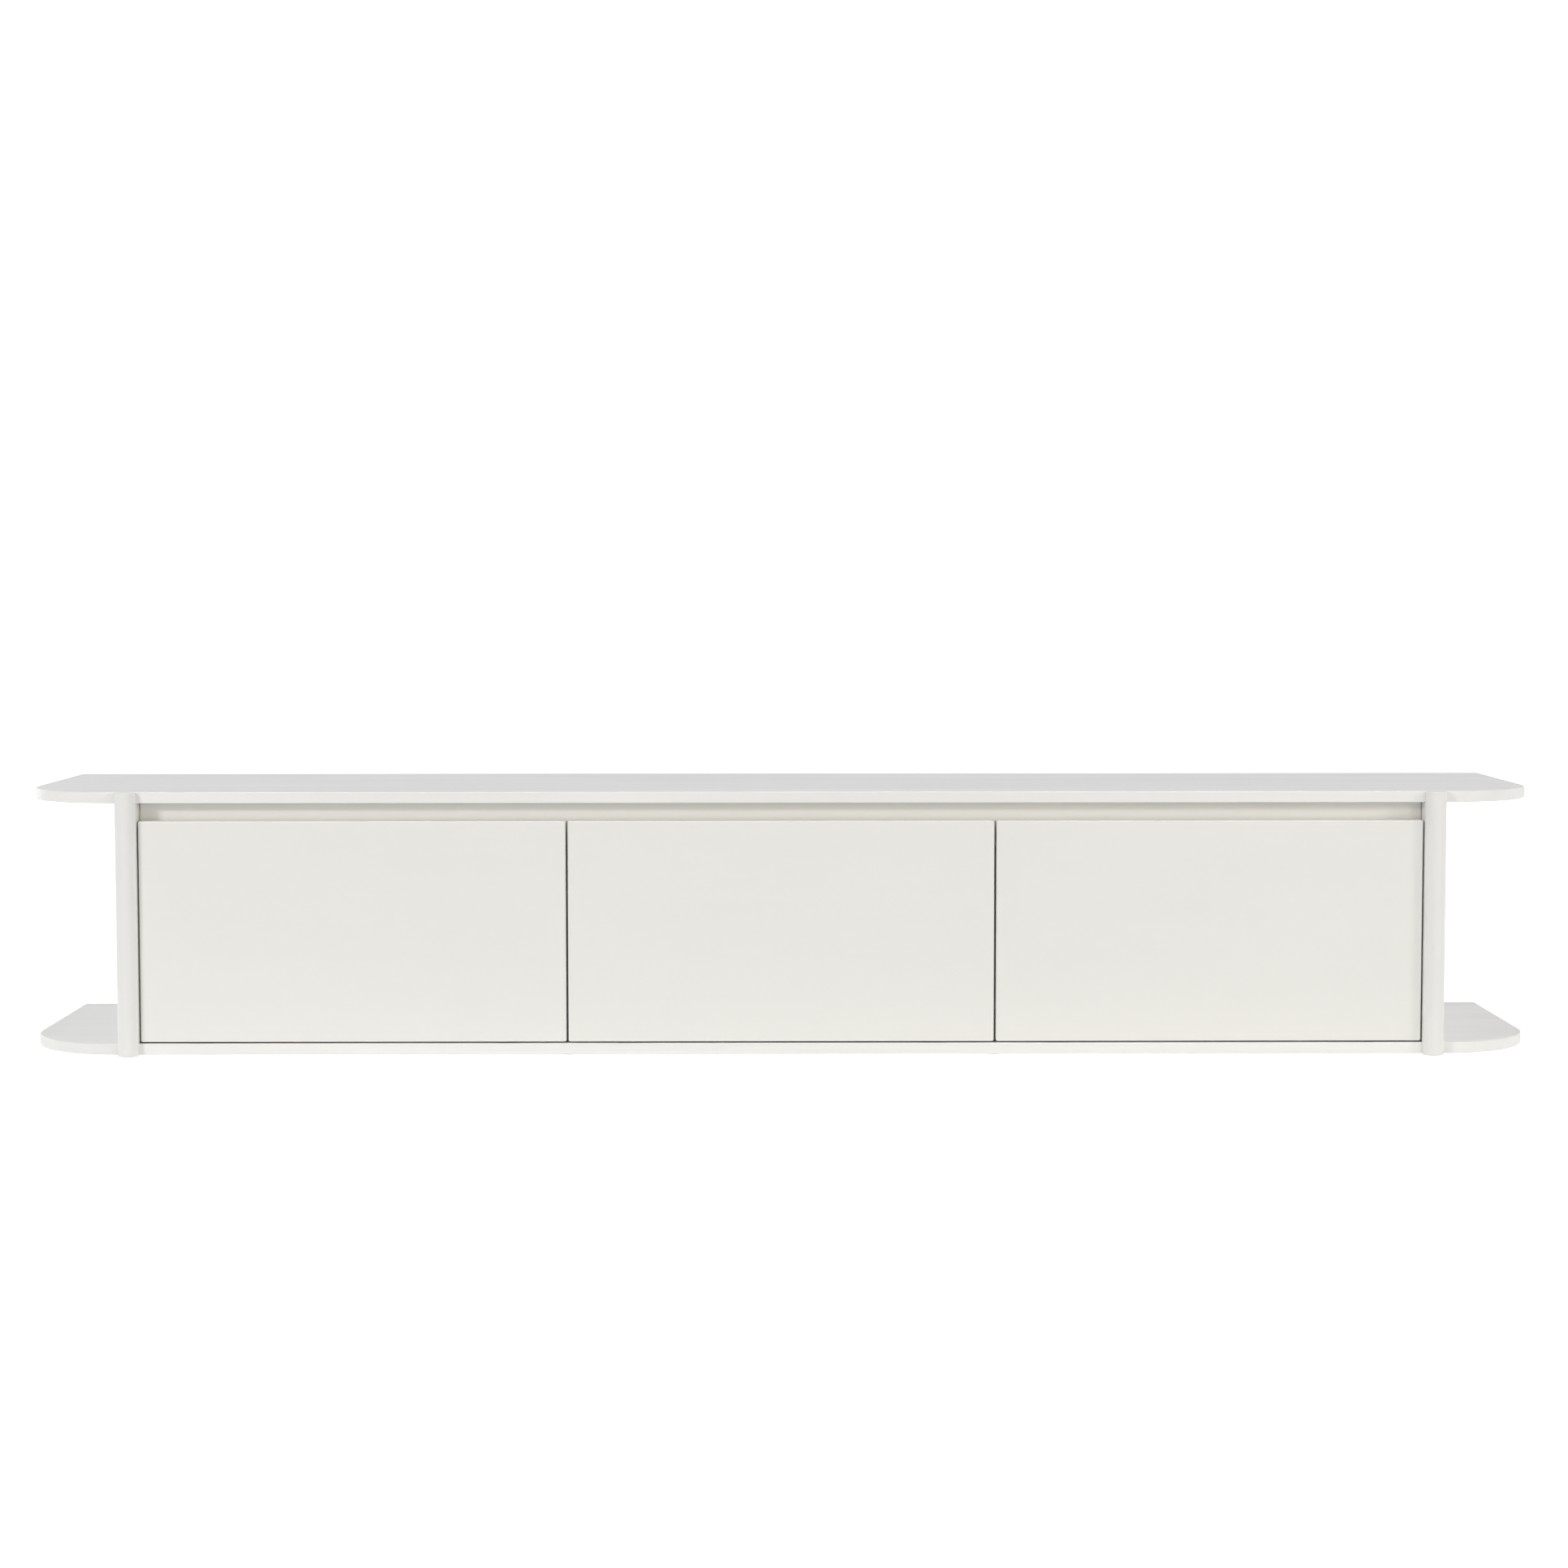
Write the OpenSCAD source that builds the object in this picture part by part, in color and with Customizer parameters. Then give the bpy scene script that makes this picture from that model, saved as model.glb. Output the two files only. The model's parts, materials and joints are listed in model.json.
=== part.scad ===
// Low television stand with three drop-down doors, between two rounded open end shelves.
// Millimetres. +X to the right, +Y to the back, +Z up. The doors face -Y.
// The origin is on the floor, under the middle of the whole stand.

/* [Boards] */
// Overall width, from end to end of the top board
stand_w = 2000; // [1900:10:2200]
// Overall height, from the floor to the top surface
stand_h = 350; // [340:2:420]
// Depth of the top and bottom boards
board_d = 386; // [360:2:440]
// Thickness of the top and bottom boards
board_t = 15; // [15:1:22]
// Radius of the boards' front corners
corner_r = 128; // [40:2:128]
// Length of each open end shelf, outside its side panel
shelf_w = 129.5; // [128.5:0.5:180]

/* [Upright panels] */
// Thickness of the side panels, whose front edge is a full half round
side_t = 28; // [24:1:34]
// How far a side panel's nose reaches below the bottom board
nose_below = 1.5; // [0:0.5:3]
// How far a side panel's nose stops short of the top surface
nose_short = 0.5; // [0:0.5:2]
// Thickness of the two partitions behind the doors
partition_t = 18; // [16:1:22]
// Distance from the doors' front plane to the partitions' front edges
partition_set = 26; // [25:1:40]
// Thickness of the back panels
back_t = 6; // [4:1:8]
// Width of the rebate that a back panel's edge sits in
rebate_w = 10; // [8:1:12]

/* [Finger rail] */
// Clear height between the doors and the top board, where fingers reach in
finger_gap = 23.5; // [16:0.5:30]
// Distance from the doors' front plane to the rail's face
rail_set = 20; // [20:1:24]
// Thickness of the rail
rail_t = 18; // [16:1:22]
// Height of the rail
rail_h = 60; // [56:1:80]

/* [Doors] */
// Thickness of a door
door_t = 18; // [16:1:18]
// Gap between two doors
door_gap = 2.8; // [2:0.1:4]
// Gap between an end door and its side panel
side_gap = 2.2; // [2:0.1:4]
// Gap under the doors
foot_gap = 2; // [2:0.1:4]
// Radius of a door's corners
door_corner_r = 2.5; // [1:0.5:5]

/* [Door hinges] */
// Depth of the hinge pin behind the door's front face
pin_depth = 6; // [5.8:0.1:6.5]
// Height of the hinge pin above the door's lower edge
pin_rise = 13; // [12.5:0.1:13.5]
// Radius of the hinge pin
pin_r = 1.5; // [1.2:0.1:1.6]
// Distance from the door's middle to each of its two hinges
hinge_x = 200; // [120:5:220]
// Width of the steel arm on the bottom board
arm_w = 20; // [14:1:24]

/* [Flap stays] */
// Thickness of the damper housing on the wall of the compartment
housing_t = 14; // [10:1:18]
// Thickness of the lever and of the link rod
link_t = 3; // [2:0.5:4]
// Gap between neighbouring links
link_gap = 0.4; // [0.4:0.1:0.8]
// Radius of the damper's spindle
spindle_r = 3; // [2.5:0.5:3.5]
// Radius of the studs that the link rod turns on
stud_r = 2.5; // [2:0.5:3]

/* [Fittings] */
// Radius of the hole for cables in each back panel
cable_hole_r = 30; // [20:1:40]
// Radius of a floor glide
glide_r = 12; // [8:1:14]
// Thickness of a floor glide
glide_h = 4; // [4:0.5:8]
// Radius of the wood dowels
dowel_r = 4; // [3:0.5:4]
// Radius of the cam locks
cam_r = 7.5; // [6:0.5:7.5]

/* [Hidden] */
$fn = 96;
// clearances
fixed_fit = 0.05;
running_fit = 0.05;
open_pivot_fit = 0.3;
through = 1;

// overall places
nose_r = side_t / 2;
front_y = -board_d / 2 + nose_r / 2;
back_y = front_y + board_d;
side_out = stand_w / 2 - shelf_w;
side_in = side_out - side_t;
floor_z = glide_h + board_t;
roof_z = stand_h - board_t;
inside_h = roof_z - floor_z;

// doors
door_w = (2 * side_in - 2 * side_gap - 2 * door_gap) / 3;
door_pitch = door_w + door_gap;
door_low = floor_z + foot_gap;
door_top = roof_z - finger_gap;
door_h = door_top - door_low;
door_back = front_y + door_t;
partition_x = door_pitch / 2;
partition_y = front_y + partition_set;
panel_back = back_y - back_t;
rail_y = front_y + rail_set;

// fixings that join the uprights to the boards
bolt_in = 9;
fixing_xs = [-side_in - bolt_in, -partition_x, partition_x, side_in + bolt_in];
bolt_ys = [front_y + 66, back_y - 70];
dowel_ys = [front_y + 101, back_y - 35];
bolt_r = 3;
bolt_bore_r = 3.75;
bolt_grip = 10;
cam_rise = 34;
cam_depth = 12.5;
dowel_grip = 8;
dowel_l = 30;
rail_dowel_r = 3;
rail_dowel_l = 24;
rail_dowel_zs = [roof_z - 45, roof_z - 15];
rail_dowel_y = rail_y + rail_t / 2;

// countersunk screws
screw_r = 2;
screw_head_r = 4;
screw_l = 12;
back_screw_r = 1.5;
back_screw_head_r = 3;
back_screw_l = 20;
back_screw_zs = [floor_z + 40, floor_z + inside_h / 2, roof_z - 40];
slot_w = 1;
slot_depth = 1;

// hinge places, from the hinge pin: [back, up]
pin_y = front_y + pin_depth;
pin_z = door_low + pin_rise;
skin = 2.5;
pocket_w = arm_w + 10;
pocket_up = 5;
plate_t = 2;
plate_up = 32;
cheek_t = 4;
eye_r = 2 * pin_r;
arm_t = 4;
arm_down = foot_gap + pin_rise;
arm_y = ceil(norm([pin_depth, pin_rise]));
arm_crank = 3;
foot_l = 31;
foot_t = 2.5;
foot_screws = [26, 38];
plate_screws = [12, 25];
pin_l = arm_w + 2 * cheek_t + 2 * link_gap;

// stay places, from the hinge pin: [back, up]; with the pin they make a parallelogram
stay_arm = [20, 90];
spindle_at = [60, 60];
elbow_at = spindle_at + stay_arm;
housing_r = 16;
housing_l = 54;
housing_screws = [26, 46];
housing_screw_l = 18;
lever_r = 7;
link_waist = 0.75;
rod_r = 6;
stud_head_r = 4;
stud_head_t = 1.5;
lever_x = housing_t + link_gap;
rod_x = lever_x + link_t + link_gap;
ear_x = rod_x + link_t + link_gap;
bracket_h = 40;
bracket_t = 2.5;
bracket_w = 20;
bracket_screws = [-12, 12];

// catches, glides and grommets
catch_z = roof_z - 40;
magnet_r = 5;
magnet_l = 16;
strike_r = 7;
strike_t = 1;
strike_screw_r = 1.5;
strike_gap = 0.3;
bumper_r = 4;
bumper_t = 1.6;
bumper_in = 20;
glide_xs = [-side_out + nose_r, -partition_x, partition_x, side_out - nose_r];
glide_ys = [front_y + 36, back_y - 50];
grommet_t = 3;
grommet_lip = 4;
grommet_lip_t = 1.5;
grommet_z = floor_z + inside_h / 2;
back_joint = 0.5;

// Door and stay positions: -1 is the left door, 0 the middle one, 1 the right one.
function door_x(place) = place * door_pitch;
function stay_wall(place) = place == 0 ? -partition_x + partition_t / 2 : place * side_in;
function stay_side(place) = place > 0 ? -1 : 1;

// ---------- helpers ----------

// Mirrors its children to the other side when side is negative.
module to_side(side) {
    if (side < 0) mirror([1, 0, 0]) children();
    else children();
}

// Extrudes an outline drawn in [back, up] along +X, starting at x.
module across(x, length) {
    translate([x, 0, 0]) rotate([90, 0, 90]) linear_extrude(length) children();
}

// A cylinder along +X with its middle at [back, up].
module pin_across(at, x, length, r) {
    across(x, length) translate(at) circle(r);
}

// Outline of a flat link: a round eye at each of two points, and a narrower bar between them.
module link_outline(from, to, r) {
    run = to - from;
    translate(from) rotate(atan2(run[1], run[0])) {
        circle(r);
        translate([norm(run), 0]) circle(r);
        translate([0, -link_waist * r]) square([norm(run), 2 * link_waist * r]);
    }
}

// A countersunk screw whose head faces +Z at z = 0, with a cross slot.
module screw(r, head_r, length) {
    difference() {
        union() {
            translate([0, 0, -head_r + r]) cylinder(r1 = r, r2 = head_r, h = head_r - r, $fn = 48);
            translate([0, 0, -length]) cylinder(r = r, h = length - head_r + r, $fn = 48);
        }
        for (turn = [0, 90])
            rotate(turn) translate([-head_r / 2, -slot_w / 2, -slot_depth]) cube([head_r, slot_w, 2 * slot_depth]);
    }
}

// The hole that such a screw is driven into.
module screw_hole(r, head_r, length) {
    wide = r + fixed_fit;
    translate([0, 0, -head_r + r]) cylinder(r1 = wide, r2 = head_r + fixed_fit, h = head_r - r, $fn = 48);
    translate([0, 0, -length - fixed_fit]) cylinder(r = wide, h = length, $fn = 48);
    cylinder(r = head_r + fixed_fit, h = through, $fn = 48);
}

// Repeats its children at the inside floor, and upside down at the inside roof.
module both_ends() {
    children();
    translate([0, 0, floor_z + roof_z]) mirror([0, 0, 1]) children();
}

// ---------- fixings between uprights and boards ----------

module dowel_spots(xs) {
    both_ends() for (x = xs, y = dowel_ys) translate([x, y, floor_z - dowel_grip]) children();
}

module bolt_spots(xs) {
    both_ends() for (x = xs, y = bolt_ys) translate([x, y, floor_z]) children();
}

// Cam lock places on the inner face of each upright, with +X pointing into the upright.
module cam_spots(xs) {
    for (x = xs)
        bolt_spots([x]) translate([0, 0, cam_rise]) to_side(x) translate([-bolt_in, 0, 0]) children();
}

module fixing_bores(xs) {
    dowel_spots(xs) cylinder(r = dowel_r + fixed_fit, h = dowel_l + fixed_fit);
    bolt_spots(xs) translate([0, 0, -bolt_grip]) cylinder(r = bolt_r + fixed_fit, h = bolt_grip + through);
}

// Bores in one upright: for its dowels, its bolts and its cam locks.
module upright_bores(x) {
    dowel_spots([x]) cylinder(r = dowel_r + fixed_fit, h = dowel_l + fixed_fit);
    bolt_spots([x]) translate([0, 0, -through]) cylinder(r = bolt_bore_r, h = cam_rise + through);
    cam_spots([x]) translate([-through, 0, 0]) rotate([0, 90, 0])
        cylinder(r = cam_r + fixed_fit, h = through + cam_depth + fixed_fit);
}

module cam_lock() {
    rotate([0, 90, 0]) difference() {
        cylinder(r = cam_r, h = cam_depth);
        for (turn = [0, 90])
            rotate(turn) translate([-cam_r / 2, -slot_w, -through])
                cube([cam_r, 2 * slot_w, through + slot_depth]);
        translate([0, 0, bolt_in]) rotate([0, 90, 0])
            cylinder(r = bolt_bore_r - fixed_fit, h = cam_r + through, $fn = 48);
    }
}

module cam_locks() {
    color("silver") cam_spots(fixing_xs) cam_lock();
}

module cam_bolts() {
    color("gray") bolt_spots(fixing_xs) {
        translate([0, 0, -bolt_grip]) cylinder(r = bolt_r, h = bolt_grip, $fn = 48);
        cylinder(r = bolt_r - 1, h = cam_rise - bolt_r, $fn = 48);
        translate([0, 0, cam_rise - 2 * bolt_r]) cylinder(r = bolt_r, h = bolt_r, $fn = 48);
    }
}

module wood_dowels() {
    color("burlywood") dowel_spots(fixing_xs) cylinder(r = dowel_r, h = dowel_l);
}

// ---------- boards ----------

module front_corner_waste() {
    translate([stand_w / 2 - corner_r, front_y + corner_r]) difference() {
        translate([0, -corner_r - through]) square([corner_r + through, corner_r + through]);
        circle(corner_r, $fn = 192);
    }
}

module board_blank(z) {
    translate([0, 0, z]) linear_extrude(board_t) difference() {
        translate([-stand_w / 2, front_y]) square([stand_w, board_d]);
        front_corner_waste();
        mirror([1, 0]) front_corner_waste();
    }
}

module top_board() {
    color("whitesmoke") difference() {
        board_blank(roof_z);
        fixing_bores(fixing_xs);
    }
}

module bottom_board() {
    color("whitesmoke") difference() {
        board_blank(glide_h);
        fixing_bores(fixing_xs);
        for (place = [-1:1]) hinge_arm_screw_spots(place) screw_hole(screw_r, screw_head_r, screw_l);
        glide_spots() screw_hole(screw_r, screw_head_r, screw_l);
    }
}

// ---------- uprights ----------

// Half-round front nose of a side panel, which laps over the front edges of both boards.
module nose() {
    low = glide_h - nose_below;
    translate([side_in + nose_r, front_y, low]) linear_extrude(stand_h - nose_short - low) intersection() {
        circle(nose_r);
        translate([-nose_r, -nose_r]) square([side_t, nose_r]);
    }
}

module side_panel(side) {
    color("white") difference() {
        to_side(side) difference() {
            union() {
                translate([side_in, front_y, floor_z]) cube([side_t, board_d, inside_h]);
                nose();
            }
            translate([side_in - through, panel_back, floor_z - through])
                cube([rebate_w + through, back_t + through, inside_h + 2 * through]);
            upright_bores(side_in + bolt_in);
            rail_dowel_spots() cylinder(r = rail_dowel_r + fixed_fit, h = rail_dowel_l + fixed_fit);
        }
        stay_screw_spots(side) screw_hole(screw_r, screw_head_r, housing_screw_l);
        back_screw_spots() screw_hole(back_screw_r, back_screw_head_r, back_screw_l);
    }
}

module partition(side) {
    color("white") difference() {
        translate([side * partition_x - partition_t / 2, partition_y, floor_z])
            cube([partition_t, panel_back - partition_y, inside_h]);
        translate([side * partition_x - partition_t / 2 - through, partition_y - through, roof_z - rail_h])
            cube([partition_t + 2 * through, rail_y + rail_t - partition_y + through, rail_h + through]);
        upright_bores(side * partition_x);
        if (side < 0) stay_screw_spots(0) screw_hole(screw_r, screw_head_r, housing_screw_l);
        back_screw_spots() screw_hole(back_screw_r, back_screw_head_r, back_screw_l);
    }
}

module finger_rail() {
    color("white") difference() {
        translate([-side_in, rail_y, roof_z - rail_h]) cube([2 * side_in, rail_t, rail_h]);
        for (side = [-1, 1])
            to_side(side) rail_dowel_spots() cylinder(r = rail_dowel_r + fixed_fit, h = rail_dowel_l + fixed_fit);
        magnet_spots() cylinder(r = magnet_r + fixed_fit, h = 2 * magnet_l, center = true);
    }
}

// Dowels along +X, half in the rail's end and half in the side panel.
module rail_dowel_spots() {
    for (z = rail_dowel_zs)
        translate([side_in - rail_dowel_l / 2, rail_dowel_y, z]) rotate([0, 90, 0]) children();
}

module rail_dowels() {
    color("burlywood") for (side = [-1, 1])
        to_side(side) rail_dowel_spots() cylinder(r = rail_dowel_r, h = rail_dowel_l);
}

// ---------- back panels ----------

// Edges of the three back panels, from left to right.
function back_low(place) = place < 0 ? -side_in - rebate_w + back_joint : (2 * place - 1) * partition_x + back_joint / 2;
function back_high(place) = -back_low(-place);

module back_panel(place) {
    color("gainsboro") difference() {
        translate([back_low(place), panel_back, floor_z])
            cube([back_high(place) - back_low(place), back_t, inside_h]);
        translate([door_x(place), panel_back - through, grommet_z]) rotate([-90, 0, 0])
            cylinder(r = cable_hole_r, h = back_t + 2 * through);
        back_screw_spots() screw_hole(back_screw_r, back_screw_head_r, back_screw_l);
    }
}

// Screws along both upright edges of each back panel, heads to the back.
module back_screw_spots() {
    edge = rebate_w / 2;
    for (place = [-1:1], x = [back_low(place) + edge, back_high(place) - edge], z = back_screw_zs)
        translate([x, back_y, z]) rotate([-90, 0, 0]) children();
}

module back_panel_screws() {
    color("gray") back_screw_spots() screw(back_screw_r, back_screw_head_r, back_screw_l);
}

module cable_grommets() {
    outer = cable_hole_r - fixed_fit;
    color("dimgray") for (place = [-1:1])
        translate([door_x(place), panel_back, grommet_z]) rotate([-90, 0, 0]) rotate_extrude() polygon([
            [outer - grommet_t, -grommet_lip_t],
            [outer + grommet_lip, -grommet_lip_t],
            [outer + grommet_lip, 0],
            [outer, 0],
            [outer, back_t],
            [outer - grommet_t, back_t]
        ]);
}

// ---------- floor glides ----------

// Places under the uprights, pointing down.
module glide_spots() {
    for (x = glide_xs, y = glide_ys)
        translate([x, y, screw_head_r - screw_r]) rotate([180, 0, 0]) children();
}

module floor_glides() {
    color("silver") difference() {
        for (x = glide_xs, y = glide_ys) translate([x, y, 0]) cylinder(r = glide_r, h = glide_h);
        glide_spots() {
            screw_hole(screw_r, screw_head_r, screw_l);
            cylinder(r = screw_head_r + fixed_fit, h = screw_head_r);
        }
    }
}

module glide_screws() {
    color("gray") glide_spots() screw(screw_r, screw_head_r, screw_l);
}

// ---------- door hinges ----------

// Puts its children at each hinge of a door, with the origin on the hinge pin's middle.
module at_hinges(place) {
    for (x = [-hinge_x, hinge_x]) translate([door_x(place) + x, pin_y, pin_z]) children();
}

module hinge_arm() {
    difference() {
        across(-arm_w / 2, arm_w) difference() {
            union() {
                circle(eye_r, $fn = 48);
                translate([0, -eye_r]) square([arm_y + arm_crank, arm_t]);
                translate([arm_y, -arm_down]) square([arm_crank, arm_down - eye_r + arm_t]);
                translate([arm_y, -arm_down]) square([foot_l, foot_t]);
            }
            circle(pin_r + running_fit, $fn = 48);
        }
        for (y = foot_screws)
            translate([0, y, foot_t - arm_down]) screw_hole(screw_r, screw_head_r, screw_l);
    }
}

module hinge_arms(place) {
    color("silver") at_hinges(place) hinge_arm();
}

module hinge_arm_screw_spots(place) {
    at_hinges(place) for (y = foot_screws) translate([0, y, foot_t - arm_down]) children();
}

module hinge_arm_screws() {
    color("gray") for (place = [-1:1]) hinge_arm_screw_spots(place) screw(screw_r, screw_head_r, screw_l);
}

// The leaf: a plate let into the door's back, with two cheeks that hold the pin.
module hinge_leaf() {
    back = door_t - pin_depth;
    plate_w = pocket_w - 2 * link_gap;
    cheek_x = arm_w / 2 + link_gap;
    plate_low = pocket_up - plate_t;
    difference() {
        union() {
            translate([-plate_w / 2, back - plate_t, plate_low])
                cube([plate_w, plate_t, plate_up - plate_low - link_gap]);
            for (x = [-cheek_x - cheek_t, cheek_x]) across(x, cheek_t) difference() {
                translate([-eye_r, -eye_r]) square([back + eye_r, eye_r + pocket_up - link_gap]);
                circle(pin_r + fixed_fit / 2, $fn = 48);
            }
        }
        leaf_screw_spots() screw_hole(screw_r, screw_head_r, screw_l);
    }
}

module leaf_screw_spots() {
    for (z = plate_screws) translate([0, door_t - pin_depth, z]) rotate([-90, 0, 0]) children();
}

module hinge_leaves(place) {
    color("silver") at_hinges(place) hinge_leaf();
}

module hinge_pins(place) {
    color("gray") at_hinges(place) across(-pin_l / 2, pin_l) circle(pin_r, $fn = 48);
}

// The room that a hinge takes in the door's lower back edge.
module hinge_pocket() {
    back = door_t - pin_depth;
    translate([-pocket_w / 2, skin - pin_depth, -pin_rise - through])
        cube([pocket_w, door_t - skin + through, pin_rise + pocket_up + through]);
    translate([-pocket_w / 2, back - plate_t, pocket_up - through])
        cube([pocket_w, plate_t + through, plate_up - pocket_up + through]);
    leaf_screw_spots() screw_hole(screw_r, screw_head_r, screw_l);
}

// ---------- doors ----------

module door(place) {
    r = door_corner_r;
    color("ghostwhite") difference() {
        translate([door_x(place) - door_w / 2, door_back, door_low]) rotate([90, 0, 0]) linear_extrude(door_t) {
            translate([r, 0]) square([door_w - 2 * r, door_h]);
            translate([0, r]) square([door_w, door_h - 2 * r]);
            for (x = [r, door_w - r], z = [r, door_h - r]) translate([x, z]) circle(r, $fn = 48);
        }
        at_hinges(place) hinge_pocket();
        bracket_screw_spots(place) screw_hole(screw_r, screw_head_r, screw_l);
        strike_spot(place) screw_hole(strike_screw_r, 2 * strike_screw_r, screw_l);
    }
}

// The middle of a strike plate's outer face, on the door's back.
module strike_spot(place) {
    translate([door_x(place), door_back + strike_t, catch_z]) rotate([-90, 0, 0]) children();
}

module strike_plate(place) {
    color("silver") difference() {
        strike_spot(place) translate([0, 0, -strike_t]) cylinder(r = strike_r, h = strike_t);
        strike_spot(place) screw_hole(strike_screw_r, 2 * strike_screw_r, screw_l);
    }
}

module bumpers(place) {
    for (side = [-1, 1]) color("lightgray")
        translate([door_x(place) + side * (door_w / 2 - bumper_in), door_back, catch_z])
            rotate([-90, 0, 0]) cylinder(r = bumper_r, h = bumper_t);
}

module door_screws(place) {
    color("gray") {
        at_hinges(place) leaf_screw_spots() screw(screw_r, screw_head_r, screw_l);
        bracket_screw_spots(place) screw(screw_r, screw_head_r, screw_l);
        strike_spot(place) screw(strike_screw_r, 2 * strike_screw_r, screw_l);
    }
}

// Magnets stop just short of the strike plates.
module magnet_spots() {
    for (place = [-1:1])
        translate([door_x(place), door_back + strike_t + strike_gap, catch_z]) rotate([-90, 0, 0]) children();
}

module magnet_catches() {
    color("dimgray") magnet_spots() cylinder(r = magnet_r, h = magnet_l);
}

// ---------- flap stays ----------

// Puts its children on a compartment's wall: +X away from the wall, origin level with the hinge pin.
module on_stay_wall(place) {
    translate([stay_wall(place), pin_y, pin_z]) to_side(stay_side(place)) children();
}

module stay_housing(place) {
    end = spindle_at + [housing_l, 0];
    color("lightgray") difference() {
        on_stay_wall(place) difference() {
            across(0, housing_t) {
                translate(spindle_at) circle(housing_r);
                translate(end) circle(housing_r);
                translate(spindle_at - [0, housing_r]) square([housing_l, 2 * housing_r]);
            }
            pin_across(spindle_at, housing_t / 2, housing_t, spindle_r + fixed_fit / 2);
        }
        stay_screw_spots(place) screw_hole(screw_r, screw_head_r, housing_t);
        stay_screw_spots(place) cylinder(r = screw_head_r + 1, h = housing_t);
    }
}

// Housing screws sit half way down the housing, in open wells.
module stay_screw_spots(place) {
    on_stay_wall(place)
        for (y = housing_screws)
            translate([housing_t / 2, spindle_at[0] + y, spindle_at[1]]) rotate([0, 90, 0]) children();
}

module stay_housing_screws() {
    color("gray") for (place = [-1:1]) stay_screw_spots(place) screw(screw_r, screw_head_r, housing_screw_l);
}

module stay_spindles() {
    color("gray") for (place = [-1:1]) on_stay_wall(place) {
        pin_across(spindle_at, housing_t / 2, rod_x - housing_t / 2, spindle_r);
        pin_across(spindle_at, rod_x - link_gap / 4, stud_head_t, stud_head_r + 1);
    }
}

module stay_lever(place) {
    color("silver") on_stay_wall(place) {
        across(lever_x, link_t) difference() {
            link_outline(spindle_at, elbow_at, lever_r);
            translate(spindle_at) circle(spindle_r + running_fit);
        }
        pin_across(elbow_at, lever_x + link_t / 2, ear_x - lever_x - link_t / 2, stud_r);
        pin_across(elbow_at, ear_x, stud_head_t, stud_head_r);
    }
}

module stay_rod(place) {
    color("silver") on_stay_wall(place) across(rod_x, link_t) difference() {
        link_outline(stay_arm, elbow_at, rod_r);
        translate(stay_arm) circle(stud_r + running_fit);
        translate(elbow_at) circle(stud_r + open_pivot_fit);
    }
}

// Bracket on the door's back: a foot plate, an ear and the stud that the link rod turns on.
module stay_bracket(place) {
    back = door_t - pin_depth;
    color("silver") difference() {
        on_stay_wall(place) {
            translate([ear_x, back, stay_arm[1] - bracket_h / 2]) cube([bracket_w, bracket_t, bracket_h]);
            across(ear_x, link_t) {
                translate([back, stay_arm[1] - rod_r]) square([stay_arm[0] - back, 2 * rod_r]);
                translate(stay_arm) circle(rod_r);
            }
            pin_across(stay_arm, rod_x - link_gap, ear_x - rod_x + link_gap + link_t / 2, stud_r);
            pin_across(stay_arm, rod_x - link_gap - stud_head_t, stud_head_t, stud_head_r);
        }
        bracket_screw_spots(place) screw_hole(screw_r, screw_head_r, screw_l);
    }
}

module bracket_screw_spots(place) {
    on_stay_wall(place) for (z = bracket_screws)
        translate([ear_x + bracket_w - 7, door_t - pin_depth + bracket_t, stay_arm[1] + z])
            rotate([-90, 0, 0]) children();
}

// ---------- parts ----------

top_board();
bottom_board();
side_panel(-1);  // side_panel_left
side_panel(1);  // side_panel_right
partition(-1);  // partition_left
partition(1);  // partition_right
finger_rail();
back_panel(-1);  // back_panel_left
back_panel(0);  // back_panel_middle
back_panel(1);  // back_panel_right
cable_grommets();
back_panel_screws();
floor_glides();
glide_screws();
cam_locks();
cam_bolts();
wood_dowels();
rail_dowels();
magnet_catches();
hinge_arm_screws();
stay_spindles();
stay_housing_screws();
hinge_arms(-1);  // hinge_arms_left
hinge_arms(0);  // hinge_arms_middle
hinge_arms(1);  // hinge_arms_right
stay_housing(-1);  // stay_housing_left
stay_housing(0);  // stay_housing_middle
stay_housing(1);  // stay_housing_right
door(-1);  // door_left
door(0);  // door_middle
door(1);  // door_right
hinge_leaves(-1);  // hinge_leaves_left
hinge_leaves(0);  // hinge_leaves_middle
hinge_leaves(1);  // hinge_leaves_right
hinge_pins(-1);  // hinge_pins_left
hinge_pins(0);  // hinge_pins_middle
hinge_pins(1);  // hinge_pins_right
strike_plate(-1);  // strike_plate_left
strike_plate(0);  // strike_plate_middle
strike_plate(1);  // strike_plate_right
bumpers(-1);  // bumpers_left
bumpers(0);  // bumpers_middle
bumpers(1);  // bumpers_right
stay_bracket(-1);  // stay_bracket_left
stay_bracket(0);  // stay_bracket_middle
stay_bracket(1);  // stay_bracket_right
door_screws(-1);  // door_screws_left
door_screws(0);  // door_screws_middle
door_screws(1);  // door_screws_right
stay_lever(-1);  // stay_lever_left
stay_lever(0);  // stay_lever_middle
stay_lever(1);  // stay_lever_right
stay_rod(-1);  // stay_rod_left
stay_rod(0);  // stay_rod_middle
stay_rod(1);  // stay_rod_right
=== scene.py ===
"""Looks of the low white television stand: softened panels, finishes, floor, light and camera."""

import json
import math

import bmesh
import bpy
from mathutils import Matrix, Vector


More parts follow.
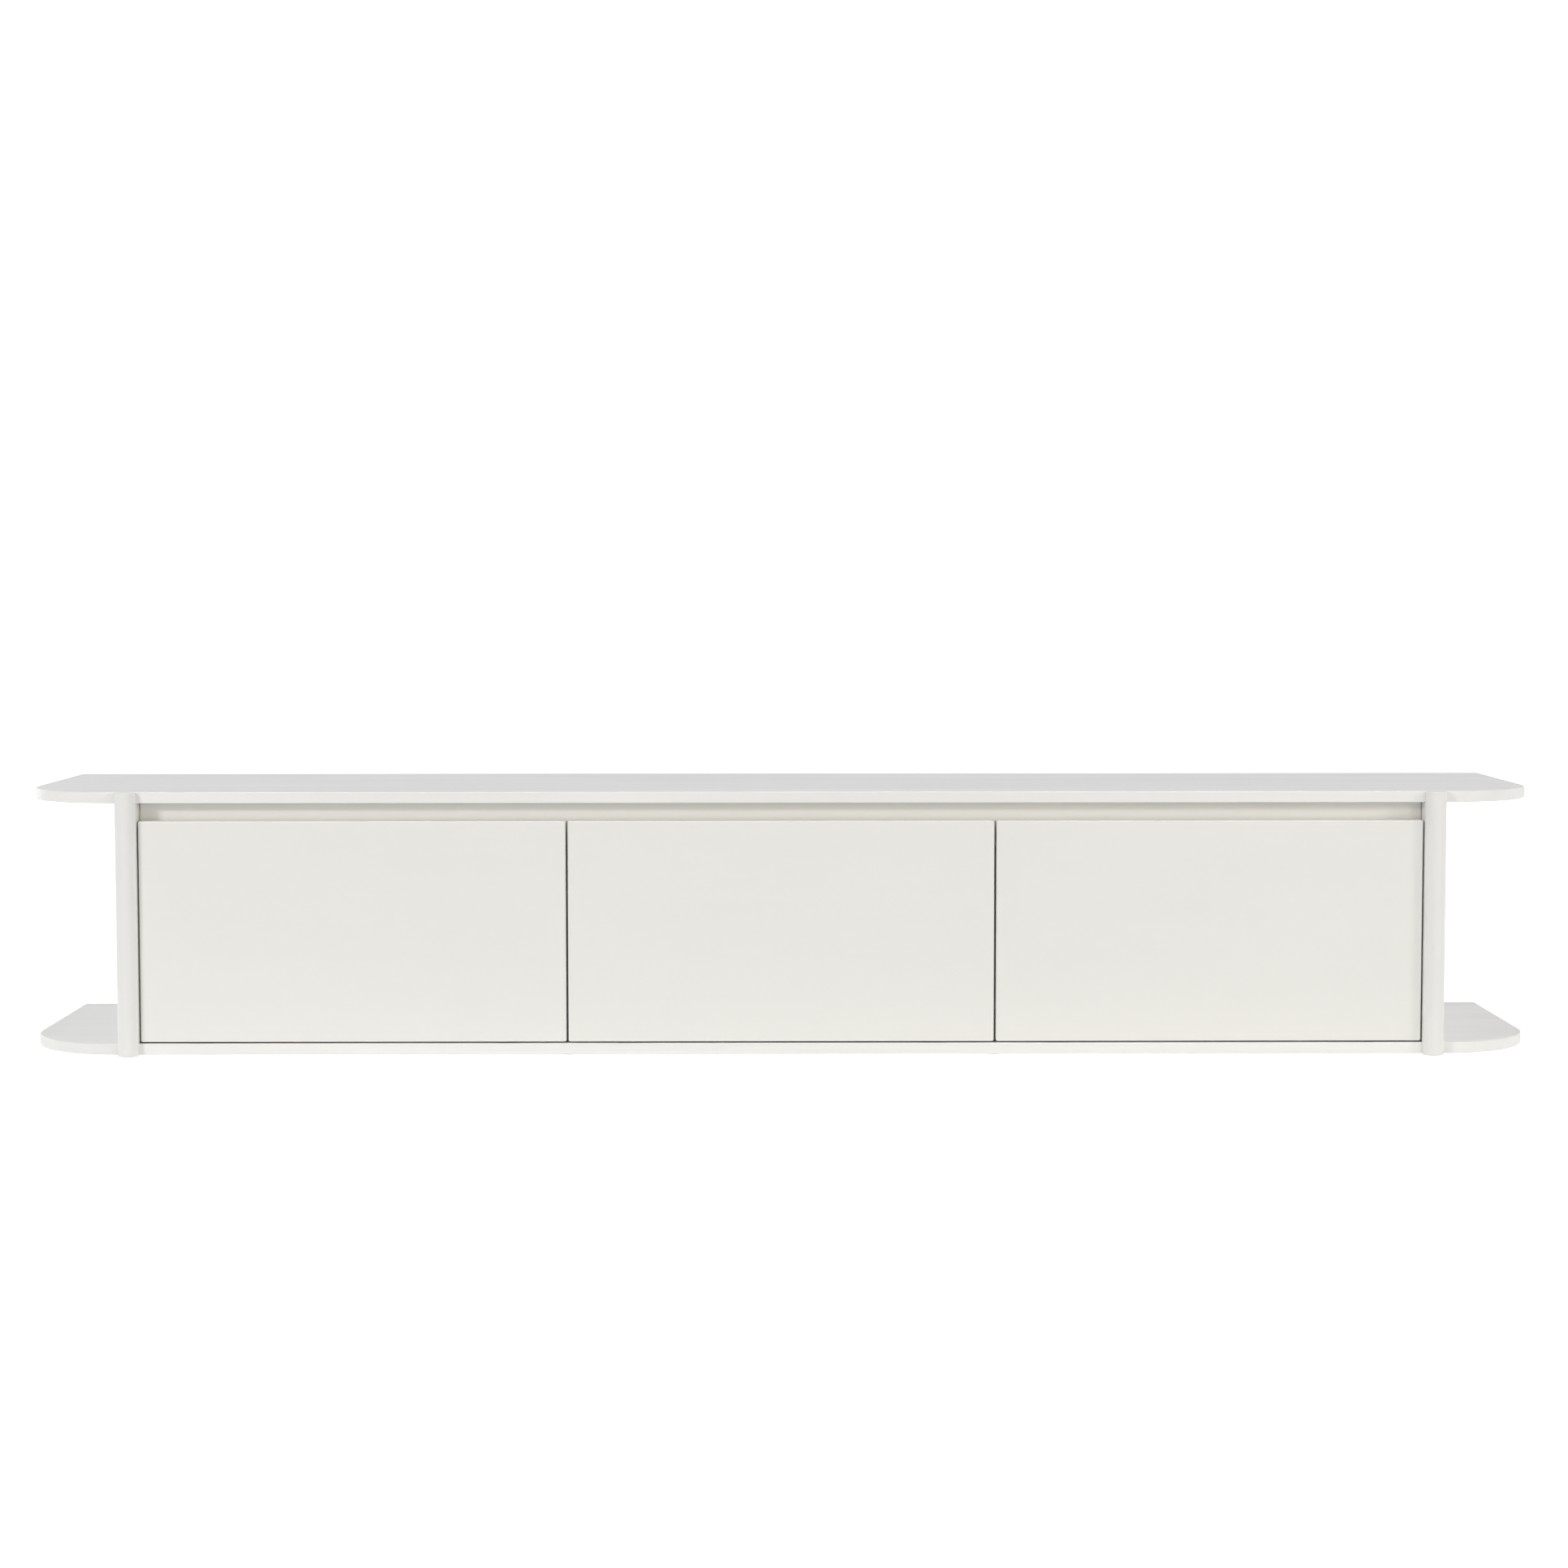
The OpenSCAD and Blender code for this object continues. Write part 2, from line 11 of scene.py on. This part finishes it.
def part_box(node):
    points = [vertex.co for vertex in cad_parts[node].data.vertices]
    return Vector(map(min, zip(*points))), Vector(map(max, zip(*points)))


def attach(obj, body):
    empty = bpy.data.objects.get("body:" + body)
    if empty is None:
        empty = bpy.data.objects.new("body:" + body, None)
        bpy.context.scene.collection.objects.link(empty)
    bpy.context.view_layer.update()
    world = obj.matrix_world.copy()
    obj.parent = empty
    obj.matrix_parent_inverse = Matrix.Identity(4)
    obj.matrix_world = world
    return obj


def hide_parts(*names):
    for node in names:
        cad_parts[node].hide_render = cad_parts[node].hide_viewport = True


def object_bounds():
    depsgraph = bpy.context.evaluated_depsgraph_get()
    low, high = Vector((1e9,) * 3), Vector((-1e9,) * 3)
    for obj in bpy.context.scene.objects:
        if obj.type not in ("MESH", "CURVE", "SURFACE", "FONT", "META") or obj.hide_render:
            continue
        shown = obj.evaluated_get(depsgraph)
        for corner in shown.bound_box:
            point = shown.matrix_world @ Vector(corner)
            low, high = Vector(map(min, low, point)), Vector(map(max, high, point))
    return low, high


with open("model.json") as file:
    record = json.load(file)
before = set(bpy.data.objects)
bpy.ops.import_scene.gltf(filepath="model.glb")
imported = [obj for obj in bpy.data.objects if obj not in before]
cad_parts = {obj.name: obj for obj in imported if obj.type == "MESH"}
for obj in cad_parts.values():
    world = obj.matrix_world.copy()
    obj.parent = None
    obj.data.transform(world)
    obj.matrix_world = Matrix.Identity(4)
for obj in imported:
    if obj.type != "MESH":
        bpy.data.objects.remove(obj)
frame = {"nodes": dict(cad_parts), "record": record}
cad_box = [list(corner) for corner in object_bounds()]
nodes = frame["nodes"]
slots = {part["node"]: part["material_slot"] for part in frame["record"]["subparts"]}
bodies_of = {n: body for body, names in frame["record"]["behaviour"]["bodies"].items() for n in names}

low, high = (Vector(corner) for corner in cad_box)
front_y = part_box("top_board")[0].y
middle = Vector((0, front_y, (low.z + high.z) / 2))

# ---------------------------------------------------------------- panels: sizes, in metres

# How far each panel's outer edges are rounded over
ARRIS = {
    "top_board": 0.0015,
    "bottom_board": 0.0015,
    "side_panel_left": 0.0015,
    "side_panel_right": 0.0015,
    "partition_left": 0.0006,
    "partition_right": 0.0006,
    "finger_rail": 0.0030,
    "door_left": 0.0015,
    "door_middle": 0.0015,
    "door_right": 0.0015,
    "back_panel_left": 0.0004,
    "back_panel_middle": 0.0004,
    "back_panel_right": 0.0004,
}
ARRIS_STEPS = 4
# Edge runs shorter than this are rims of bores, which stay sharp
OUTLINE = 0.1
# Points closer than this are one point
WELD = 1e-6
# Faces within this angle are one flat face, and edges past the second are sharp
FLAT = math.radians(0.4)
SHARP = math.radians(30)


def clean_copy(node):
    """A welded bmesh copy of a CAD node, with its flat faces whole again."""
    bm = bmesh.new()
    bm.from_mesh(nodes[node].data)
    bmesh.ops.remove_doubles(bm, verts=bm.verts, dist=WELD)
    bmesh.ops.dissolve_limit(bm, angle_limit=FLAT, verts=bm.verts, edges=bm.edges)
    bmesh.ops.recalc_face_normals(bm, faces=bm.faces)
    return bm


def outline_edges(bm):
    """Convex edges in connected runs longer than OUTLINE, which leaves out the rims of small bores."""
    convex = {e for e in bm.edges if e.is_manifold and e.is_convex and e.calc_face_angle(0) > SHARP}
    runs = []
    left = set(convex)
    while left:
        run, reach = set(), [left.pop()]
        while reach:
            edge = reach.pop()
            run.add(edge)
            for vert in edge.verts:
                for other in vert.link_edges:
                    if other in left:
                        left.remove(other)
                        reach.append(other)
        runs.append(run)
    chosen = []
    for run in runs:
        points = [v.co for e in run for v in e.verts]
        size = [max(p[i] for p in points) - min(p[i] for p in points) for i in range(3)]
        if max(size) > OUTLINE:
            chosen.extend(run)
    return chosen


def softened(node, radius):
    """The node again, as a piece whose outer edges are rounded over."""
    bm = clean_copy(node)
    edges = sorted(outline_edges(bm), key=lambda e: e.index)
    bmesh.ops.bevel(bm, geom=edges, offset=radius, segments=ARRIS_STEPS, profile=0.5,
                    affect="EDGES", clamp_overlap=False)
    for face in bm.faces:
        face.smooth = True
    mesh = bpy.data.meshes.new(node + "_panel")
    bm.to_mesh(mesh)
    bm.free()
    piece = bpy.data.objects.new(node + "_panel", mesh)
    bpy.context.scene.collection.objects.link(piece)
    mesh.set_sharp_from_angle(angle=SHARP)
    normals = piece.modifiers.new("flat faces stay flat", "WEIGHTED_NORMAL")
    normals.keep_sharp = True
    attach(piece, bodies_of[node])
    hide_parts(node)
    return piece


# ---------------------------------------------------------------- node helpers

def map_range(tree, value, start, end, to_start, to_end, curve):
    """Maps a value's start..end onto to_start..to_end."""
    node = tree.nodes.new("ShaderNodeMapRange")
    node.interpolation_type = curve
    node.inputs["From Min"].default_value = start
    node.inputs["From Max"].default_value = end
    node.inputs["To Min"].default_value = to_start
    node.inputs["To Max"].default_value = to_end
    tree.links.new(value, node.inputs["Value"])
    return node.outputs["Result"]


def mix_colours(tree, factor, first, second):
    """A colour between first and second, each a constant or another node's output."""
    node = tree.nodes.new("ShaderNodeMix")
    node.data_type = "RGBA"
    sockets = [s for s in node.inputs if s.type == "RGBA"]
    for socket, colour in zip(sockets, (first, second)):
        if isinstance(colour, tuple):
            socket.default_value = (*colour, 1)
        else:
            tree.links.new(colour, socket)
    tree.links.new(factor, node.inputs["Factor"])
    return next(s for s in node.outputs if s.type == "RGBA")


def scaled(colour, factor):
    """The colour made lighter or darker, and never past white."""
    return tuple(min(1.0, c * factor) for c in colour)


def scales(axis, along, across):
    """Noise scales for a pattern that runs along x or z."""
    return {"x": (along, across, across), "z": (across, across, along)}[axis]


class Paint:
    """A small helper that builds one procedural material around a Principled shader."""

    def __init__(self, name):
        self.material = bpy.data.materials.new(name)
        self.material.use_nodes = True
        self.tree = self.material.node_tree
        self.shader = self.tree.nodes["Principled BSDF"]
        self.coords = self.tree.nodes.new("ShaderNodeTexCoord").outputs["Object"]

    def set(self, **values):
        """Sets constants on the shader's own sockets."""
        for socket, value in values.items():
            self.shader.inputs[socket.replace("_", " ")].default_value = value

    def to(self, socket, value):
        """Links a node's output to one of the shader's sockets."""
        self.tree.links.new(value, self.shader.inputs[socket])

    def noise(self, scale, stretch=(1, 1, 1), detail=3.0, rough=0.5, distortion=0.0):
        """Noise over the object, squeezed along each axis by stretch."""
        mapping = self.tree.nodes.new("ShaderNodeMapping")
        mapping.inputs["Scale"].default_value = stretch
        self.tree.links.new(self.coords, mapping.inputs["Vector"])
        texture = self.tree.nodes.new("ShaderNodeTexNoise")
        texture.inputs["Scale"].default_value = scale
        texture.inputs["Detail"].default_value = detail
        texture.inputs["Roughness"].default_value = rough
        texture.inputs["Distortion"].default_value = distortion
        self.tree.links.new(mapping.outputs["Vector"], texture.inputs["Vector"])
        return texture.outputs["Fac"]

    def spread(self, value, to_start, to_end, start=0.3, end=0.7, curve="LINEAR"):
        """Maps a value's start..end, which is where noise mostly lies, onto to_start..to_end."""
        return map_range(self.tree, value, start, end, to_start, to_end, curve)

    def blend(self, factor, first, second):
        """A colour between first and second."""
        return mix_colours(self.tree, factor, first, second)

    def math(self, operation, first, second=0.0):
        """One arithmetic node; each term is a number or another node's output."""
        node = self.tree.nodes.new("ShaderNodeMath")
        node.operation = operation
        for term, value in zip(node.inputs, (first, second)):
            if isinstance(value, (int, float)):
                term.default_value = value
            else:
                self.tree.links.new(value, term)
        return node.outputs["Value"]

    def length(self, x, y):
        """How far the point x, y is from the origin."""
        return self.math("SQRT", self.math("ADD", self.math("POWER", x, 2), self.math("POWER", y, 2)))

    def beyond(self, coordinate, limit):
        """How far a coordinate is past plus or minus limit, and 0 between them."""
        past = self.math("SUBTRACT", self.math("ABSOLUTE", coordinate), limit)
        return self.math("MAXIMUM", past, 0.0)

    def bump(self, heights):
        """Stacks bumps: each is (texture, depth in metres)."""
        normal = None
        for height, depth in heights:
            node = self.tree.nodes.new("ShaderNodeBump")
            node.inputs["Strength"].default_value = 1
            node.inputs["Distance"].default_value = depth
            self.tree.links.new(height, node.inputs["Height"])
            if normal:
                self.tree.links.new(normal, node.inputs["Normal"])
            normal = node.outputs["Normal"]
        self.to("Normal", normal)


# ---------------------------------------------------------------- finishes

# How much darker or lighter the lacquer's patterns are, and how deep they are in metres.
# The figure is the wood's broad bands, the fibres its fine lines, and the peel the spray's own texture.
FIGURE_DARK = 0.055
FIGURE_LIGHT = 0.02
FIGURE_DEPTH = 0.0004
FIBRE_SHADE = 0.94
FIBRE_DEPTH = 0.00009
PAINTED_FIBRE_DEPTH = 0.000004
CLOUD_SHADE = 0.955
PEEL_DEPTH = 0.000006


def lacquer(name, colour, grain, along="x", roughness=0.48):
    """Satin white lacquer: grain is 0 for smooth paint and 1 where the wood shows through most."""
    paint = Paint(name)
    fibres = paint.noise(8, scales(along, 1.2, 34), detail=6, rough=0.62, distortion=0.15)
    figure = paint.noise(2.2, scales(along, 0.8, 14), detail=4, rough=0.6, distortion=0.35)
    cloud = paint.noise(1.7, (1, 2, 2), detail=3, rough=0.5)
    peel = paint.noise(420, detail=2, rough=0.5)
    gloss = paint.noise(5, (1, 3, 3), detail=4)
    dark = scaled(colour, 1 - FIGURE_DARK * grain)
    light = scaled(colour, 1 + FIGURE_LIGHT * grain)
    veined = paint.blend(paint.spread(figure, 0, 1), dark, light)
    streaked = paint.blend(paint.spread(fibres, 0.5 * grain, 0), veined, scaled(colour, FIBRE_SHADE))
    patchy = paint.blend(paint.spread(cloud, 0, 0.35), streaked, scaled(colour, CLOUD_SHADE))
    paint.to("Base Color", patchy)
    paint.to("Roughness", paint.spread(gloss, roughness - 0.05, roughness + 0.07))
    fibre_depth = FIBRE_DEPTH * grain + PAINTED_FIBRE_DEPTH
    paint.bump([(figure, FIGURE_DEPTH * grain), (fibres, fibre_depth), (peel, PEEL_DEPTH)])
    paint.set(IOR=1.46, Coat_Weight=0.05, Coat_Roughness=0.3)
    return paint.material


def foil(name, colour):
    """Matt foil on hardboard, with a fine even tooth."""
    paint = Paint(name)
    tooth = paint.noise(900, detail=2)
    cloud = paint.noise(2.5, detail=3)
    paint.to("Base Color", paint.blend(paint.spread(cloud, 0, 1), scaled(colour, 0.96), colour))
    paint.to("Roughness", paint.spread(tooth, 0.55, 0.7))
    paint.bump([(tooth, 0.00002)])
    return paint.material


def metal(name, colour, roughness, along="x", scratch=0.00001):
    """Plated steel or zinc with fine brushing along one axis."""
    paint = Paint(name)
    brushing = paint.noise(60, scales(along, 1, 40), detail=5, rough=0.6)
    blotch = paint.noise(90, detail=3)
    paint.to("Base Color", paint.blend(paint.spread(blotch, 0, 1), scaled(colour, 0.86), colour))
    paint.to("Roughness", paint.spread(brushing, roughness - 0.07, roughness + 0.1))
    paint.bump([(brushing, scratch)])
    paint.set(Metallic=1.0)
    return paint.material


def moulded(name, colour, roughness=0.5, grit=0.00004):
    """Moulded plastic or rubber with a fine spark-eroded tooth."""
    paint = Paint(name)
    tooth = paint.noise(1400, detail=2)
    cloud = paint.noise(30, detail=2)
    paint.to("Base Color", paint.blend(paint.spread(cloud, 0, 1), scaled(colour, 0.93), colour))
    paint.to("Roughness", paint.spread(tooth, roughness - 0.06, roughness + 0.08))
    paint.bump([(tooth, grit)])
    return paint.material


def beech(name, dark, light):
    """Bare beech with short dark flecks along the dowel."""
    paint = Paint(name)
    grain = paint.noise(160, scales("z", 1, 8), detail=5, rough=0.6, distortion=0.3)
    paint.to("Base Color", paint.blend(paint.spread(grain, 0, 1), dark, light))
    paint.to("Roughness", paint.spread(grain, 0.55, 0.75))
    paint.bump([(grain, 0.00008)])
    return paint.material


finishes = {
    "board_white": lacquer("board lacquer", (0.84, 0.832, 0.808), grain=1.0),
    "panel_white": lacquer("panel lacquer", (0.795, 0.79, 0.765), grain=0.5, along="z"),
    "door_white": lacquer("door lacquer", (0.80, 0.79, 0.75), grain=0.12),
    "back_white": foil("back foil", (0.74, 0.74, 0.72)),
    "grommet_plastic": moulded("grommet plastic", (0.70, 0.70, 0.68)),
    "screw_steel": metal("zinc-plated steel", (0.62, 0.62, 0.64), 0.32),
    "glide_plastic": moulded("glide nylon", (0.78, 0.78, 0.75), 0.4),
    "fitting_zinc": metal("die-cast zinc", (0.52, 0.52, 0.54), 0.45),
    "dowel_wood": beech("beech", (0.42, 0.26, 0.13), (0.66, 0.47, 0.28)),
    "magnet_black": moulded("magnet sleeve", (0.04, 0.04, 0.045), 0.45),
    "hinge_steel": metal("nickel-plated steel", (0.66, 0.66, 0.67), 0.3, along="z"),
    "pin_steel": metal("ground steel", (0.55, 0.55, 0.57), 0.25),
    "housing_plastic": moulded("housing plastic", (0.72, 0.72, 0.71)),
    "bumper_rubber": moulded("silicone", (0.74, 0.76, 0.77), 0.3, 0.00001),
}
rail_lacquer = lacquer("rail lacquer", (0.828, 0.806, 0.764), grain=0.3)


def dress(obj, material):
    """Gives an object one material in place of any it has."""
    obj.data.materials.clear()
    obj.data.materials.append(material)


for node, obj in nodes.items():
    dress(obj, finishes[slots[node]])
for node, radius in ARRIS.items():
    panel = softened(node, radius)
    dress(panel, rail_lacquer if node == "finger_rail" else finishes[slots[node]])

# ---------------------------------------------------------------- floor

# Half the floor's width, in metres
FLOOR_REACH = 40
FLOOR_WHITE = (0.86, 0.86, 0.86)
# The floor's own glow as the stand receives it: close by and far off, and where it fades between them.
# GLOW_SQUASH makes the bright pool longer along x.
GLOW_NEAR = 0.26
GLOW_FAR = 0.03
GLOW_START = 0.3
GLOW_END = 1.6
GLOW_SQUASH = 0.6
# What share of that glow is left under the stand. The shade is full up to SHADE_START outside a box that
# lies CORNER inside the stand's outline, and gone at SHADE_END.
GLOW_UNDER = 0.45
CORNER = 0.128
SHADE_START = CORNER - 0.07
SHADE_END = CORNER - 0.03


def see_through(paint):
    """Makes a floor clear from below, so that the underside of what stands on it can be seen."""
    facing = paint.tree.nodes.new("ShaderNodeNewGeometry")
    nothing = paint.tree.nodes.new("ShaderNodeBsdfTransparent")
    mix = paint.tree.nodes.new("ShaderNodeMixShader")
    paint.tree.links.new(facing.outputs["Backfacing"], mix.inputs[0])
    paint.tree.links.new(paint.shader.outputs["BSDF"], mix.inputs[1])
    paint.tree.links.new(nothing.outputs["BSDF"], mix.inputs[2])
    paint.tree.links.new(mix.outputs["Shader"], paint.tree.nodes["Material Output"].inputs["Surface"])


def floor():
    """A pale floor, plain white to look at, that lights the stand softly from below and less so under it."""
    bm = bmesh.new()
    bmesh.ops.create_grid(bm, x_segments=1, y_segments=1, size=FLOOR_REACH)
    mesh = bpy.data.meshes.new("studio_floor")
    bm.to_mesh(mesh)
    bm.free()
    obj = bpy.data.objects.new("studio_floor", mesh)
    bpy.context.scene.collection.objects.link(obj)
    paint = Paint("studio floor")
    drift = paint.noise(0.8, detail=2)
    paint.to("Base Color", paint.blend(paint.spread(drift, 0, 1), scaled(FLOOR_WHITE, 0.99), FLOOR_WHITE))
    paint.set(Roughness=0.9, Emission_Color=(1, 1, 1, 1))
    place = paint.tree.nodes.new("ShaderNodeSeparateXYZ")
    paint.tree.links.new(paint.coords, place.inputs["Vector"])
    x, y = place.outputs["X"], place.outputs["Y"]
    from_stand = paint.length(paint.beyond(x, high.x - CORNER), paint.beyond(y, high.y - CORNER))
    unshaded = paint.spread(from_stand, GLOW_UNDER, 1, SHADE_START, SHADE_END, "SMOOTHSTEP")
    from_middle = paint.length(paint.math("MULTIPLY", x, GLOW_SQUASH), y)
    pool = paint.spread(from_middle, GLOW_NEAR, GLOW_FAR, GLOW_START, GLOW_END, "SMOOTHSTEP")
    glow = paint.math("MULTIPLY", pool, unshaded)
    ray = paint.tree.nodes.new("ShaderNodeLightPath")
    paint.to("Emission Strength", paint.math("MAXIMUM", glow, ray.outputs["Is Camera Ray"]))
    see_through(paint)
    dress(obj, paint.material)


# ---------------------------------------------------------------- light

# The background as the camera sees it
SEEN_WHITE = (1.05, 1.05, 1.05)


def sky(back, left, right, zenith):
    """A soft room: bright behind the stand, a dimmer front that fades from left to right, and a ceiling."""
    world = bpy.data.worlds.new("studio")
    bpy.context.scene.world = world
    world.use_nodes = True
    tree = world.node_tree
    coords = tree.nodes.new("ShaderNodeTexCoord")
    split = tree.nodes.new("ShaderNodeSeparateXYZ")
    tree.links.new(coords.outputs["Generated"], split.inputs["Vector"])

    def fade(axis, start, end, before, after):
        """Turns from one colour to another as the direction's share along an axis goes from start to end."""
        factor = map_range(tree, split.outputs[axis], start, end, 0, 1, "SMOOTHSTEP")
        return mix_colours(tree, factor, before, after)

    front = fade("X", -0.5, 0.5, left, right)
    level = fade("Y", 0.0, 0.5, front, back)
    room = fade("Z", 0.35, 0.85, level, zenith)
    ray = tree.nodes.new("ShaderNodeLightPath")
    colour = mix_colours(tree, ray.outputs["Is Camera Ray"], room, SEEN_WHITE)
    tree.links.new(colour, tree.nodes["Background"].inputs["Color"])


def softbox(name, azimuth, elevation, distance, size, watts, colour, matt=True, sheen=True):
    """An area light aimed at the stand's front, from azimuth 0 straight ahead of it or negative on its left.

    matt and sheen say whether it counts in matt and in glossy reflection.
    """
    a, e = math.radians(azimuth), math.radians(elevation)
    out = Vector((math.sin(a) * math.cos(e), -math.cos(a) * math.cos(e), math.sin(e)))
    light = bpy.data.lights.new(name, "AREA")
    light.shape = "RECTANGLE"
    light.size, light.size_y = size
    light.energy = watts
    light.color = colour
    obj = bpy.data.objects.new(name, light)
    obj.location = middle + out * distance
    obj.rotation_euler = (-out).to_track_quat("-Z", "Y").to_euler()
    obj.visible_camera = False
    obj.visible_diffuse = matt
    obj.visible_glossy = sheen
    bpy.context.scene.collection.objects.link(obj)


# ---------------------------------------------------------------- camera

# Distances from the top board's front edge, the floor and the middle, in metres, and angles in degrees
CAMERA_DISTANCE = 3.935
CAMERA_HEIGHT = 0.618
CAMERA_SIDE = -0.0094
CAMERA_YAW = 0.194
CAMERA_PITCH = -3.754
CAMERA_ROLL = -0.042
# Focal length and sensor width in millimetres
CAMERA_LENS = 69.32
SENSOR = 36
# How far the camera sees, past the floor's far edge, in metres
CAMERA_REACH = 200


def camera():
    """A camera low in front of the stand, looking slightly down at it."""
    data = bpy.data.cameras.new("camera")
    data.sensor_width = SENSOR
    data.lens = CAMERA_LENS
    data.clip_end = CAMERA_REACH
    obj = bpy.data.objects.new("camera", data)
    turn = Matrix.Rotation(math.radians(-CAMERA_YAW), 4, "Z")
    tilt = Matrix.Rotation(math.radians(90 + CAMERA_PITCH), 4, "X")
    roll = Matrix.Rotation(math.radians(CAMERA_ROLL), 4, "Z")
    place = Matrix.Translation((CAMERA_SIDE, front_y - CAMERA_DISTANCE, CAMERA_HEIGHT))
    obj.matrix_world = place @ turn @ tilt @ roll
    bpy.context.scene.collection.objects.link(obj)
    bpy.context.scene.camera = obj


# ---------------------------------------------------------------- the studio

floor()
sky(back=(1.20, 1.21, 1.26), left=(0.36, 0.36, 0.36), right=(0.70, 0.68, 0.65), zenith=(0.34, 0.34, 0.34))
softbox("key", azimuth=-52, elevation=21, distance=6.0, size=(0.7, 0.7),
        watts=120, colour=(0.99, 1.0, 1.01), sheen=False)
softbox("fill", azimuth=45, elevation=17, distance=3.2, size=(0.4, 0.5),
        watts=9.2, colour=(1.02, 1.0, 0.94), sheen=False)
softbox("side", azimuth=65, elevation=17, distance=5.0, size=(0.8, 0.8),
        watts=41, colour=(0.99, 1.0, 1.0), sheen=False)
softbox("low left", azimuth=-130, elevation=6, distance=4.0, size=(0.8, 0.8),
        watts=10, colour=(1.0, 1.0, 1.0))
softbox("arris light", azimuth=0, elevation=68, distance=2.2, size=(3.6, 0.8),
        watts=180, colour=(1.0, 1.0, 1.0), matt=False)
camera()
bpy.context.scene.view_settings.view_transform = "Standard"
